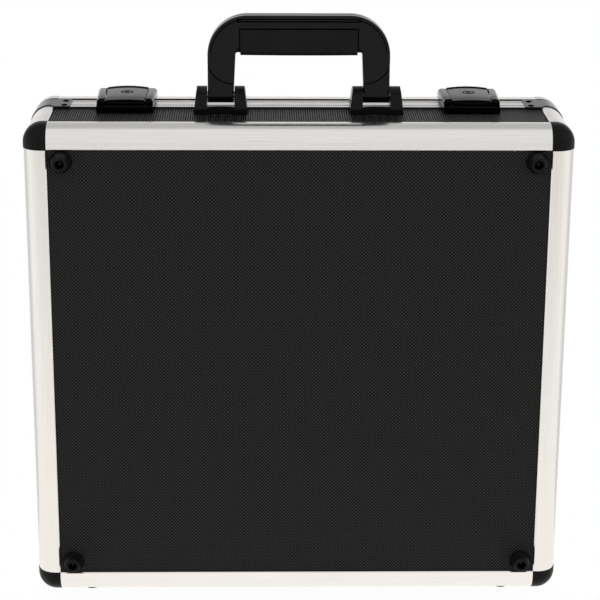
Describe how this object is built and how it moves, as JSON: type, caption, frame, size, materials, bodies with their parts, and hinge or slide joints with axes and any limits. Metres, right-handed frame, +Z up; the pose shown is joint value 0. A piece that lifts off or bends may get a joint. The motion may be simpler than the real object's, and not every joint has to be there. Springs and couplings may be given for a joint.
{
  "type": "foam-lined case",
  "caption": "Shallow hinged hard case with rounded metal edges, foam lining, swing-up carrying handle, key-locking latches and rubber feet.",
  "frame": {"origin": "middle of the footprint on the standing surface, under the feet and hinge barrels", "axes": "+Z up with the case standing on its hinge side and the handle on top; +Y from the footed panel to the lid; +X to the right seen from the footed panel"},
  "size_m": [0.4584, 0.142, 0.5093],
  "materials": {
    "laminate": "fine embossed diamond grain, semi-matt black",
    "edge_aluminium": "satin anodised",
    "rail_aluminium": "satin anodised, grooved",
    "corner_plastic": "black, fine grain",
    "plated_corner": "plated, bright",
    "rivet_black": "blackened",
    "screw_steel": "plain steel",
    "seal_rubber": "matt black",
    "foot_rubber": "matt black",
    "foam": "open-cell foam, dark grey",
    "hinge_steel": "nickel-plated",
    "handle_plastic": "satin black",
    "bracket_plastic": "half-gloss black",
    "grip_soft": "soft-touch black",
    "latch_black": "smooth black lacquer",
    "lock_steel": "dark nickel",
    "keeper_steel": "plain steel"
  },
  "bodies": {
    "base": {"ball_corner_bottom_left": "corner_plastic", "ball_corner_bottom_right": "corner_plastic", "ball_corner_top_left": "corner_plastic", "ball_corner_top_right": "corner_plastic", "base_rivets": "rivet_black", "bracket_screws": "rivet_black", "closure_rail_bottom": "rail_aluminium", "closure_rail_left": "rail_aluminium", "closure_rail_right": "rail_aluminium", "closure_rail_top": "rail_aluminium", "depth_edges": "edge_aluminium", "foam_floor": "foam", "foam_walls": "foam", "foot_screws": "screw_steel", "front_edge_bottom": "edge_aluminium", "front_edge_left": "edge_aluminium", "front_edge_right": "edge_aluminium", "front_edge_top": "edge_aluminium", "front_feet": "foot_rubber", "front_panel": "laminate", "handle_bracket_left": "bracket_plastic", "handle_bracket_right": "bracket_plastic", "hinge_base_leaf_left": "hinge_steel", "hinge_base_leaf_right": "hinge_steel", "hinge_pins": "screw_steel", "latch_housing_left": "latch_black", "latch_housing_right": "latch_black", "lever_pins": "screw_steel", "rail_bracket_bottom_left": "plated_corner", "rail_bracket_bottom_right": "plated_corner", "rail_bracket_top_left": "plated_corner", "rail_bracket_top_right": "plated_corner", "seal": "seal_rubber", "stand_feet": "foot_rubber", "wall_bottom": "laminate", "wall_left": "laminate", "wall_right": "laminate", "wall_top": "laminate"},
    "lid": {"hinge_lid_leaf_left": "hinge_steel", "hinge_lid_leaf_right": "hinge_steel", "latch_keeper_left": "keeper_steel", "latch_keeper_right": "keeper_steel", "lid_corners": "plated_corner", "lid_edge_bottom": "edge_aluminium", "lid_edge_left": "edge_aluminium", "lid_edge_right": "edge_aluminium", "lid_edge_top": "edge_aluminium", "lid_foam": "foam", "lid_panel": "laminate", "lid_rivets": "rivet_black"},
    "handle": {"handle_frame": "handle_plastic", "handle_grip": "grip_soft", "handle_pins": "screw_steel"},
    "lever_left": {"latch_lever_left": "latch_black"},
    "lever_right": {"latch_lever_right": "latch_black"},
    "lock_left": {"lock_plug_left": "lock_steel"},
    "lock_right": {"lock_plug_right": "lock_steel"}
  },
  "joints": [
    {"name": "lid_hinge", "type": "hinge", "parent": "base", "child": "lid", "pos_m": [0, 0.04305, 0.004], "axis": [-1, 0, 0], "range_deg": [0, 105]},
    {"name": "handle_swing", "type": "hinge", "parent": "base", "child": "handle", "pos_m": [0, 0.00205, 0.441], "axis": [1, 0, 0], "range_deg": [-90, 90]},
    {"name": "latch_left", "type": "hinge", "parent": "base", "child": "lever_left", "pos_m": [-0.1465, 0.00355, 0.4333], "axis": [1, 0, 0], "range_deg": [-3.5, 80]},
    {"name": "latch_right", "type": "hinge", "parent": "base", "child": "lever_right", "pos_m": [0.1465, 0.00355, 0.4333], "axis": [1, 0, 0], "range_deg": [-3.5, 80]},
    {"name": "key_left", "type": "hinge", "parent": "lever_left", "child": "lock_left", "pos_m": [-0.1465, 0.02955, 0.435], "axis": [0, 0, -1], "range_deg": [0, 90]},
    {"name": "key_right", "type": "hinge", "parent": "lever_right", "child": "lock_right", "pos_m": [0.1465, 0.02955, 0.435], "axis": [0, 0, 1], "range_deg": [0, 90]}
  ]
}
